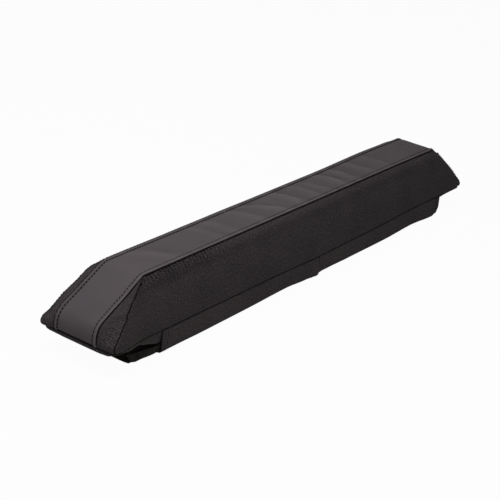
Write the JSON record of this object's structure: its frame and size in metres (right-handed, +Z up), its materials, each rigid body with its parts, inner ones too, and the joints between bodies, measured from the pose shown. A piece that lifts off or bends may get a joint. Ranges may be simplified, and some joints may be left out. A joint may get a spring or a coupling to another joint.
{
  "type": "roof rack pad",
  "caption": "Long foam pad with sloping sides and ends in a sewn cover, with wrap flaps underneath that close round a crossbar.",
  "frame": {"origin": "centre of the bounding box at its base, where the closed wrap flaps lie on the floor", "axes": "+X along the pad to its right end, -Y to the front side that the picture shows, +Z up through the top strip"},
  "size_m": [0.762, 0.098, 0.088],
  "materials": {
    "foam": "closed-cell foam",
    "strip_fabric": "smooth coated fabric",
    "woven_fabric": "plain woven polyester",
    "flap_fabric": "plain woven polyester",
    "binding": "woven binding tape",
    "grip_rubber": "matt, ribbed",
    "hook": "hook tape",
    "loop": "brushed loop tape",
    "liner": "smooth coated fabric"
  },
  "bodies": {
    "root": {"foam_core": "foam", "top_strip": "strip_fabric", "front_side_panel": "woven_fabric", "rear_side_panel": "woven_fabric", "front_left_gusset": "woven_fabric", "front_right_gusset": "woven_fabric", "rear_left_gusset": "woven_fabric", "rear_right_gusset": "woven_fabric", "base_binding": "binding", "base_panel": "woven_fabric", "grip_mat": "grip_rubber", "front_flap_left": "flap_fabric", "front_flap_right": "flap_fabric", "rear_flap_left": "flap_fabric", "rear_flap_right": "flap_fabric", "hook_tape_left": "hook", "hook_tape_right": "hook", "loop_tape_left": "loop", "loop_tape_right": "loop", "bar_liner_left": "liner", "bar_liner_right": "liner"}
  },
  "joints": []
}
